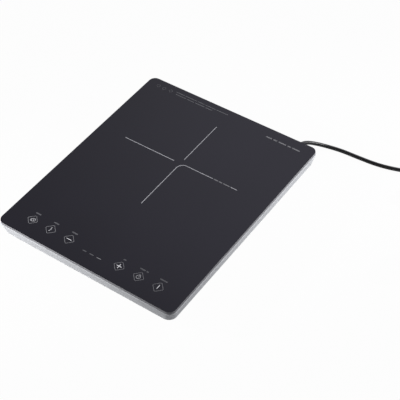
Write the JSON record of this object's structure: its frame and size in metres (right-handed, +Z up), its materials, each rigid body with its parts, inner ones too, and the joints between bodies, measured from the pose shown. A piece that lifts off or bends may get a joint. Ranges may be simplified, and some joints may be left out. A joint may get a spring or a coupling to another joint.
{
  "type": "portable induction cooktop",
  "caption": "Portable single-zone induction cooktop: black glass plate with touch keys on a low silver housing, with coil, fan, boards, feet and a mains cord.",
  "frame": {"origin": "on the table, under the middle of the glass plate", "axes": "+X to the right and +Y to the rear for someone at the keys, +Z up"},
  "size_m": [0.497, 0.4238, 0.038],
  "materials": {
    "black_glass": "gloss",
    "silicone": "matte",
    "silver_plastic": "metallic satin",
    "foot_rubber": "matte",
    "steel": "zinc plated",
    "coil_plastic": "matte",
    "copper": "varnished litz",
    "ferrite": "matte",
    "mica": "matte",
    "fan_plastic": "satin",
    "magnet": "matte",
    "bronze": "sintered",
    "stator_steel": "varnished",
    "circuit_board": "satin",
    "aluminium": "extruded",
    "black_package": "matte",
    "capacitor_case": "satin",
    "capacitor_can": "sleeved",
    "fuse_glass": "clear",
    "contact_steel": "plated",
    "led_plastic": "diffuse",
    "ribbon": "satin",
    "wire_insulation": "satin",
    "cord_pvc": "gloss",
    "tie_fabric": "woven",
    "nickel": "plated"
  },
  "bodies": {
    "cooktop": {"base_shell": "silver_plastic", "board_connectors": "fan_plastic", "board_screws": "steel", "bridge_rectifier": "black_package", "buzzer": "fan_plastic", "choke": "ferrite", "coil_former": "coil_plastic", "coil_leads": "wire_insulation", "coil_screws": "steel", "coil_terminals": "bronze", "coil_winding": "copper", "control_board": "circuit_board", "cord_clamp": "fan_plastic", "cord_coil": "cord_pvc", "cord_tie": "tie_fabric", "digit_display": "fan_plastic", "electrolytic_capacitors": "capacitor_can", "fan_bearing": "bronze", "fan_frame": "fan_plastic", "fan_screws": "steel", "fan_stator": "stator_steel", "ferrite_bars": "ferrite", "filter_capacitor": "capacitor_case", "foot_front_left": "foot_rubber", "foot_front_right": "foot_rubber", "foot_rear_left": "foot_rubber", "foot_rear_right": "foot_rubber", "fuse": "fuse_glass", "glass_sealant": "silicone", "glass_top": "black_glass", "heatsink": "aluminium", "housing_screws": "steel", "igbt": "black_package", "indicator_leds": "led_plastic", "inner_cord": "cord_pvc", "main_board": "circuit_board", "mica_sheet": "mica", "pan_sensor": "silicone", "plug_body": "cord_pvc", "plug_contacts": "nickel", "plug_lead": "cord_pvc", "resonant_capacitor": "capacitor_case", "ribbon_cable": "ribbon", "signal_leads": "wire_insulation", "smoothing_capacitor": "capacitor_case", "strain_relief": "cord_pvc", "supply_cord": "cord_pvc", "supply_wires": "wire_insulation", "switching_transformer": "black_package", "touch_contact_1": "contact_steel", "touch_contact_2": "contact_steel", "touch_contact_3": "contact_steel", "touch_contact_4": "contact_steel", "touch_contact_5": "contact_steel", "touch_contact_6": "contact_steel", "upper_frame": "silver_plastic"},
    "fan": {"fan_rotor": "fan_plastic", "fan_magnet": "magnet", "fan_shaft": "steel"}
  },
  "joints": [
    {"name": "fan_spin", "type": "hinge", "parent": "cooktop", "child": "fan", "pos_m": [-0.082, -0.08, 0.015], "axis": [0, 0, 1], "continuous": true}
  ]
}
